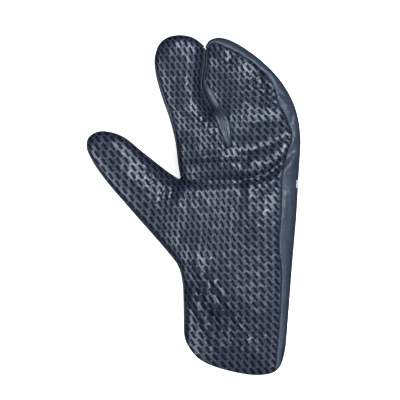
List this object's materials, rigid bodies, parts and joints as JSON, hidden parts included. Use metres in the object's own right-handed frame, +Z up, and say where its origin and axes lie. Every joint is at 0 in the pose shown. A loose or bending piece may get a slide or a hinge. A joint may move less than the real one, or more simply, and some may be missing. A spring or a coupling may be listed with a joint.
{
  "type": "cycling glove",
  "caption": "Left-hand split-finger over-glove in thin coated cloth, open at the cuff, with a gripping palm, lying on its back.",
  "frame": {"origin": "middle of the glove's box, on the floor that its back lies on", "axes": "+X towards the little finger, +Y towards the fingertips, +Z up out of the palm"},
  "size_m": [0.1838, 0.291, 0.0382],
  "materials": {
    "palm_cloth": "thin coated cloth with a silky sheen, printed with small dark slanted silicone dashes",
    "back_cloth": "plain coated cloth with a fine lengthwise rib",
    "fourchette_cloth": "plain stretch cloth, puckered along its length"
  },
  "bodies": {
    "root": {"palm_panel": "palm_cloth", "back_panel": "back_cloth", "finger_fourchette": "fourchette_cloth"}
  },
  "joints": []
}
